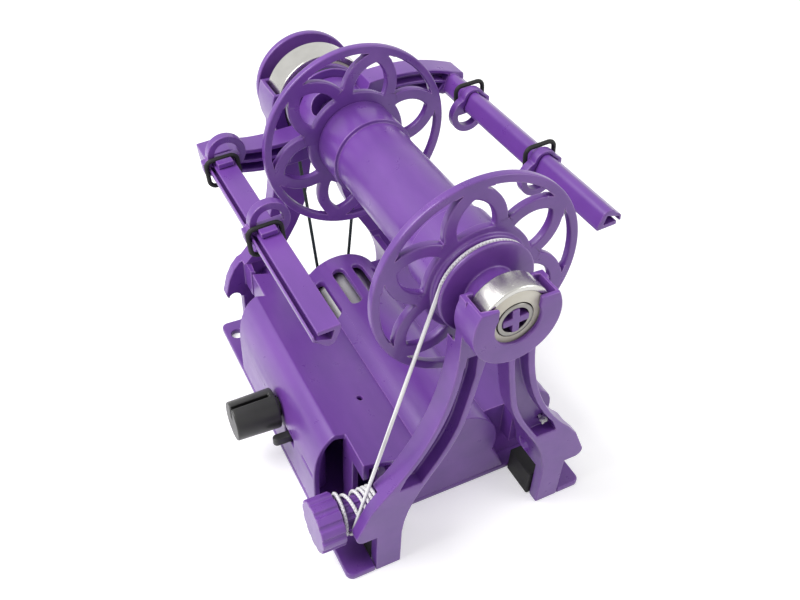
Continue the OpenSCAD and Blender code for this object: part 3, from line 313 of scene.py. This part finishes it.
def rubber(name, colour, gloss):
    dark = tuple(c * 0.75 for c in colour)
    # Paler edges: partly wear, partly a painted highlight.
    worn_highlit_edge = tuple(c * 1.8 for c in colour)
    made = plastic(name, dark, colour, worn_highlit_edge, gloss, worn_highlit_edge_width=0.4 * mm, grain=3400, bump=0.16)
    made.node_tree.nodes["Principled BSDF"].inputs["Specular IOR Level"].default_value = 0.35
    return made


black_rubber = rubber("black_rubber", (0.014, 0.014, 0.014), 0.62)
moulded("rubber_feet", black_rubber, 0.5 * mm, steps=3)

# ------------------------------------------------------------------ bearings
# Two ball bearings: a small one in the near cradle and a large one behind
# the orifice disc. Rings and balls are ground steel, and a cream moulded
# cover closes each side between the rings.


def turned_metal(name, colour, gloss, centre, lines=5200):
    """Metal with fine lines that run round an axis along Y through the centre, in X and Z."""
    made, tree, shader = new_finish(name)
    place = add(tree, "ShaderNodeTexCoord").outputs["Object"]
    apart = add(tree, "ShaderNodeSeparateXYZ")
    join(tree, place, apart.inputs[0])
    across = reckon(tree, "SUBTRACT", apart.outputs["X"], centre[0])
    above = reckon(tree, "SUBTRACT", apart.outputs["Z"], centre[1])
    squared = reckon(tree, "ADD", reckon(tree, "MULTIPLY", across, across),
                     reckon(tree, "MULTIPLY", above, above))
    angle = reckon(tree, "ARCTAN2", across, above)
    ring = add(tree, "ShaderNodeCombineXYZ")
    join(tree, reckon(tree, "SQRT", squared), ring.inputs["X"])
    join(tree, apart.outputs["Y"], ring.inputs["Y"])
    join(tree, reckon(tree, "MULTIPLY", angle, 0.002), ring.inputs["Z"])
    grind = noise(tree, ring.outputs[0], lines, 3, 0.6)
    smear = noise(tree, place, 240, 4, 0.55)
    uneven = reckon(tree, "MULTIPLY", reckon(tree, "ADD", grind, smear), 0.5)
    tone = drift(tree, uneven, 0.3, [c * 0.82 for c in colour], 0.75, colour)
    join(tree, tone, shader.inputs["Base Color"])
    join(tree, spread(tree, uneven, gloss - 0.06, gloss + 0.14), shader.inputs["Roughness"])
    shader.inputs["Metallic"].default_value = 1.0
    relief(tree, shader, grind, 0.12, 0.02 * mm)
    return made


def refinished(node, finish):
    """Leaves the node's own form as it is and gives it the finish."""
    for slot in nodes[node].material_slots:
        slot.material = finish


axis_z = 100.5 * mm
bearing_steel = turned_metal("bearing_steel", (0.62, 0.61, 0.58), 0.2, (0, axis_z))
# The inner rings get a darker copy of the same steel: painted shade.
shade_dark_steel = turned_metal("shade_dark_steel", (0.30, 0.29, 0.27), 0.26, (0, axis_z))
# The third colour marks the edges: partly wear, partly a painted highlight.
cream_cover = plastic("cream_cover", (0.60, 0.56, 0.46), (0.74, 0.71, 0.62), (0.8, 0.78, 0.7),
                      0.42, worn_highlit_edge_width=0.3 * mm)
for end in ("near", "far"):
    moulded(end + "_bearing_outer_ring", bearing_steel, 0.45 * mm, steps=3)
    moulded(end + "_bearing_inner_ring", shade_dark_steel, 0.25 * mm, steps=3)
    moulded(end + "_bearing_shields", cream_cover, 0.08 * mm)
    refinished(end + "_bearing_balls", bearing_steel)

# -------------------------------------------------------------------- bobbin
# The yarn bobbin turns freely on the spindle. A thin violet tube is pressed
# on to two openwork flanges with six petals each. The near flange carries
# the grooved brake pulley and the boss in front of it.
moulded("bobbin_tube", violet, 0.3 * mm)
near_petals = moulded("brake_flange", violet, 0.55 * mm, steps=3)
far_petals = moulded("far_flange", violet, 0.55 * mm, steps=3)
far_petals_turn = math.radians(23.3)
on_axis = Matrix.Translation((0, 0, axis_z))
turned = on_axis @ Matrix.Rotation(far_petals_turn, 4, "Y") @ on_axis.inverted()
far_petals.data.transform(turned)

# The brake groove has a raised floor, on which the cord stands level with the lips.
cord_d = 1.2 * mm
groove_y = -53.8 * mm
groove_half_w = 1.05 * mm
groove_core_r = 11 * mm
groove_floor_r = 13.3 * mm
groove_form = bmesh.new()
groove_form.from_mesh(near_petals.data)
petal_faces = set(groove_form.faces)
corners = [groove_form.verts.new((r, groove_y + side * groove_half_w, axis_z))
           for r, side in ((groove_core_r, -1), (groove_floor_r, -1),
                           (groove_floor_r, 1), (groove_core_r, 1))]
outline = [groove_form.edges.new((corners[i], corners[(i + 1) % 4])) for i in range(4)]
bmesh.ops.spin(groove_form, geom=corners + outline, cent=(0, 0, axis_z), axis=(0, 1, 0),
               angle=math.tau, steps=96, use_merge=True)
floor_faces = [face for face in groove_form.faces if face not in petal_faces]
bmesh.ops.recalc_face_normals(groove_form, faces=floor_faces)
for face in floor_faces:
    face.smooth = True
groove_form.to_mesh(near_petals.data)
groove_form.free()

# --------------------------------------------------------------------- flyer
# The flyer winds the yarn round the bobbin. Its hub, curved cross arm and two
# channel-shaped arms are one moulding, pressed on to a ribbed spindle with
# the drive whorl, and the orifice tube with its disc passes the far bearing.
moulded("flyer", violet, 0.35 * mm)
moulded("flyer_spindle", violet, 0.3 * mm)
moulded("drive_whorl", violet, 0.3 * mm)
moulded("orifice_tube", violet, 0.55 * mm, steps=3)

# -------------------------------------------------------------- sliding hooks
# Four yarn guides slide along the flyer's arms. Each is a small violet
# moulding with a ring for the yarn, and a black rubber O-ring stretched round
# it and the arm holds it by friction.
for number in (1, 2, 3, 4):
    moulded("sliding_hook_%d" % number, violet, 0.25 * mm)
    moulded("hook_o_ring_%d" % number, black_rubber, 0.1 * mm, least=40)

# --------------------------------------------------------------------- motor
# A small direct current motor with a drawn steel can, seen through the vents,
# screwed to the housing's far wall, with a turned brass belt pulley.
shaft_at = (1.2 * mm, 19.5 * mm)
can_steel = turned_metal("can_steel", (0.60, 0.60, 0.58), 0.36, shaft_at, lines=1800)
pulley_brass = turned_metal("pulley_brass", (0.71, 0.53, 0.25), 0.24, shaft_at)
moulded("motor", can_steel, 0.4 * mm, steps=3)
moulded("motor_shaft", bearing_steel, 0.15 * mm)
moulded("motor_pulley", pulley_brass, 0.12 * mm)

# ---------------------------------------------------------------- drive band
# A thin dark green elastic cord, joined into a loop and stretched from the
# motor pulley up to the drive whorl.
refinished("drive_band", rubber("elastic_band", (0.02, 0.035, 0.028), 0.5))

# ----------------------------------------------------- tension peg and brake
# The brake cord is braided white polyester. It is wound on a violet peg with
# a fluted knob, runs taut over the bobbin's pulley and is knotted inside the
# right leg, so turning the peg sets how hard the bobbin drags.
moulded("tension_peg", violet, 0.25 * mm)

peg_y, peg_z = -53.5 * mm, 19.5 * mm
peg_core_r = 4.8 * mm
flute_gap = 0.5 * mm
wind_r = peg_core_r + cord_d / 2 + flute_gap
first_turn_x, last_turn_x, leave_x = -30.98 * mm, -43.16 * mm, -40.64 * mm
turn_pitch = 1.4 * mm
wind_x = [first_turn_x - turn_pitch * i for i in (0, 1, 2, 3, 5)] + [last_turn_x]
crossing_lift = cord_d + 0.2 * mm
pulley_line_r = groove_floor_r + cord_d / 2 + 0.1 * mm
anchor = Vector((24 * mm, -64.9 * mm, 42 * mm))
leg_d = 7 * mm
leg_clear = 0.8 * mm
bend_r = 2.4 * mm
knot_depth = 3.6 * mm
arc_steps = 24
bend_steps = 8


def one_turn(first, second, lift=0.0):
    """A turn round the peg while the cord moves along it, lifted halfway over other turns."""
    points = []
    for part in (i / arc_steps for i in range(arc_steps)):
        angle = math.pi - math.tau * part
        r = wind_r + lift * math.sin(math.pi * part)
        points.append(Vector((first + (second - first) * part,
                              peg_y + r * math.cos(angle), peg_z + r * math.sin(angle))))
    return points


def meets_pulley(x, z, side):
    """Angle at which a straight line from a point beside the pulley touches its groove."""
    above = z - axis_z
    return math.atan2(above, x) - side * math.acos(pulley_line_r / math.hypot(x, above))


route = []
for first, second in zip(wind_x, wind_x[1:]):
    route += one_turn(first, second)
route += one_turn(last_turn_x, leave_x, crossing_lift)
route.append(Vector((leave_x, peg_y - wind_r, peg_z)))
on_angle = meets_pulley(leave_x, peg_z, 1) + math.tau
off_angle = meets_pulley(anchor.x, anchor.z + bend_r, -1)
for part in (i / arc_steps for i in range(arc_steps + 1)):
    angle = on_angle + (off_angle - on_angle) * part
    route.append(Vector((pulley_line_r * math.cos(angle), groove_y,
                         axis_z + pulley_line_r * math.sin(angle))))
for part in (i / bend_steps for i in range(bend_steps + 1)):
    angle = math.pi / 2 * (1 - part)
    route.append(anchor + Vector((0, leg_d + leg_clear + bend_r * math.sin(angle),
                                  bend_r * (1 - math.cos(angle)))))
route.append(anchor + Vector((0, knot_depth, 0)))


def braid(name):
    """White cord: two sets of strands that cross along it, seen as small raised stitches, with
    painted shade between them.
    """
    made, tree, shader = new_finish(name)
    uv = add(tree, "ShaderNodeUVMap", uv_map="UVMap")
    apart = add(tree, "ShaderNodeSeparateXYZ")
    join(tree, uv.outputs[0], apart.inputs[0])
    along = reckon(tree, "MULTIPLY", apart.outputs["X"], 1700.0)
    about = reckon(tree, "MULTIPLY", apart.outputs["Y"], 4 * math.pi)
    strands = [reckon(tree, "SINE", reckon(tree, way, along, about)) for way in ("ADD", "SUBTRACT")]
    stitch = reckon(tree, "MAXIMUM", *strands)
    # Painted shade: the cord turns grey where it sinks between the stitches.
    tone = drift(tree, reckon(tree, "MULTIPLY_ADD", stitch, 0.5, 0.5),
                 0.0, (0.5, 0.48, 0.5), 0.7, (0.86, 0.85, 0.85))
    join(tree, tone, shader.inputs["Base Color"])
    shader.inputs["Roughness"].default_value = 0.75
    shader.inputs["Sheen Weight"].default_value = 0.25
    relief(tree, shader, stitch, 0.6, 0.08 * mm)
    return made


def cord_along(points, diameter, name, finish, closed=False):
    """A round cord swept along the points, with a map that runs along it."""
    line = bpy.data.curves.new(name + "_line", "CURVE")
    line.dimensions = "3D"
    line.bevel_depth = diameter / 2
    line.bevel_resolution = 3
    line.use_fill_caps = True
    spline = line.splines.new("POLY")
    spline.points.add(len(points) - 1)
    for at, point in zip(spline.points, points):
        at.co = (*point, 1)
    spline.use_cyclic_u = closed
    spline.use_smooth = True
    holder = placed(name + "_line", line)
    bpy.context.view_layer.update()
    shaped = holder.evaluated_get(bpy.context.evaluated_depsgraph_get())
    mesh = bpy.data.meshes.new_from_object(shaped)
    bpy.data.objects.remove(holder)
    bpy.data.curves.remove(line)
    mesh.name = name
    mesh.materials.append(finish)
    return placed(name, mesh)


white_braid = braid("white_braid")
cord = cord_along(route, cord_d, "brake_cord_braid", white_braid)
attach(cord, "base")
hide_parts("brake_cord")

# The knot at the cord's end is pulled tight, which squeezes the cord thinner.
knot_at = anchor + Vector((0, 2.6 * mm, 0))
knot_r = 0.33 * mm
knot_cord_d = 0.95 * mm
knot_steps = 60
knot_line = []
for part in (i / knot_steps for i in range(knot_steps)):
    angle = math.tau * part
    knot_line.append(knot_at + knot_r * Vector((math.sin(angle) + 2 * math.sin(2 * angle),
                                                -1.2 * math.sin(3 * angle),
                                                math.cos(angle) - 2 * math.cos(2 * angle))))
knot = cord_along(knot_line, knot_cord_d, "brake_cord_knot", white_braid, closed=True)
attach(knot, "base")

# ------------------------------------------------------------------ controls
# A black speed knob on the left side turns a potentiometer behind the wall,
# and a small black slide switch under it sets the direction. The socket for
# the supply, of the same black plastic, is on the other side.
# The third colour marks the edges: partly wear, partly a painted highlight.
knob_black = plastic("knob_black", (0.012, 0.012, 0.012), (0.022, 0.022, 0.021),
                     (0.07, 0.07, 0.068), 0.36, worn_highlit_edge_width=0.5 * mm, bump=0.06)
moulded("speed_knob", knob_black, 0.5 * mm, steps=3)
moulded("potentiometer_shaft", bearing_steel, 0.2 * mm)
moulded("potentiometer", knob_black, 0.25 * mm)
moulded("switch_body", knob_black, 0.2 * mm)
moulded("switch_slider", knob_black, 0.3 * mm, steps=3)
moulded("power_inlet", knob_black, 0.25 * mm)

# ------------------------------------------------------ board and fasteners
# The control board inside the ridge is green glass-filled laminate, and the
# plate, the uprights and the motor are held by small plated steel screws.
# The third colour marks the edges: partly wear, partly a painted highlight.
board_green = plastic("board_green", (0.012, 0.06, 0.022), (0.02, 0.09, 0.035),
                      (0.1, 0.2, 0.1), 0.4, bump=0.1)
screw_steel = turned_metal("screw_steel", (0.56, 0.56, 0.55), 0.3, (0, 0))
moulded("control_board", board_green, 0.12 * mm)
moulded("base_screws", screw_steel, 0.25 * mm)
moulded("maiden_screws", screw_steel, 0.15 * mm)
moulded("motor_screws", screw_steel, 0.2 * mm)

# -------------------------------------------------------------------- studio
# A white table, a white surrounding, one broad lamp above to the left and a
# weaker one on the right, seen from the photograph's place. The table glows
# more away from the wheel, where the lamps don't reach it.


def looked_at(tree):
    """Puts out 1 for what the camera sees, also in a reflection or through something clear."""
    ray = add(tree, "ShaderNodeLightPath")
    either = reckon(tree, "MAXIMUM", ray.outputs["Is Camera Ray"], ray.outputs["Is Glossy Ray"])
    return reckon(tree, "MAXIMUM", either, ray.outputs["Is Transmission Ray"])


floor_form = bmesh.new()
bmesh.ops.create_grid(floor_form, x_segments=1, y_segments=1, size=4)
floor_mesh = bpy.data.meshes.new("table_top")
floor_form.to_mesh(floor_mesh)
floor_form.free()
floor = placed("table_top", floor_mesh)

paper, tree, shader = new_finish("white_paper")
tree.nodes.remove(shader)
matt = add(tree, "ShaderNodeBsdfDiffuse")
matt.inputs["Color"].default_value = (0.8, 0.8, 0.8, 1)
glow = add(tree, "ShaderNodeEmission")
glow.inputs["Color"].default_value = (1, 1, 1, 1)
from_wheel = add(tree, "ShaderNodeVectorMath", operation="LENGTH")
join(tree, add(tree, "ShaderNodeNewGeometry").outputs["Position"], from_wheel.inputs[0])
lamp_lit, far_off = 0.25, 1.1
brighter = spread(tree, from_wheel.outputs["Value"], 0.4, 0.7, lamp_lit, far_off, "SMOOTHSTEP")
join(tree, brighter, glow.inputs["Strength"])
both = add(tree, "ShaderNodeAddShader")
join(tree, matt.outputs[0], both.inputs[0])
join(tree, glow.outputs[0], both.inputs[1])
pick = add(tree, "ShaderNodeMixShader")
join(tree, looked_at(tree), pick.inputs[0])
join(tree, matt.outputs[0], pick.inputs[1])
join(tree, both.outputs[0], pick.inputs[2])
join(tree, pick.outputs[0], tree.nodes["Material Output"].inputs["Surface"])
floor_mesh.materials.append(paper)

room_light = 0.42
world = bpy.data.worlds.new("white_room")
bpy.context.scene.world = world
world.use_nodes = True
tree = world.node_tree
back = tree.nodes["Background"]
back.inputs["Color"].default_value = (1, 1, 1, 1)
white_or_room = reckon(tree, "MULTIPLY_ADD", looked_at(tree), 1 - room_light, room_light)
join(tree, white_or_room, back.inputs["Strength"])


def lamp(name, place, size, power):
    """A square lamp that shines on the middle of the wheel."""
    light = bpy.data.lights.new(name, "AREA")
    light.shape = "RECTANGLE"
    light.size = light.size_y = size
    light.energy = power
    holder = placed(name, light)
    holder.location = place
    aim = Vector((0, 0, 0.06)) - Vector(place)
    holder.rotation_euler = aim.to_track_quat("-Z", "Y").to_euler()


lamp("window", (-0.55, 0.15, 0.75), 0.6, 8.9)
lamp("reflector", (0.6, -0.45, 0.5), 0.5, 2.5)

camera_turn, camera_rise, camera_roll = map(math.radians, (-28.70, 41.21, 2.86))
camera_place = Vector((-103.8, -197.1, 246.9)) * mm
backward = Vector((math.sin(camera_turn) * math.cos(camera_rise),
                   -math.cos(camera_turn) * math.cos(camera_rise), math.sin(camera_rise)))
level = Vector((math.cos(camera_turn), math.sin(camera_turn), 0))
upward = backward.cross(level)
rightward = math.cos(camera_roll) * level + math.sin(camera_roll) * upward
topward = math.cos(camera_roll) * upward - math.sin(camera_roll) * level
camera = placed("camera", bpy.data.cameras.new("camera"))
camera.data.lens = 38.23
camera.data.sensor_width = 36
camera.data.clip_start = 0.01
view = Matrix((rightward, topward, backward)).transposed().to_4x4()
view.translation = camera_place
camera.matrix_world = view
bpy.context.scene.camera = camera
bpy.context.scene.view_settings.view_transform = "Standard"
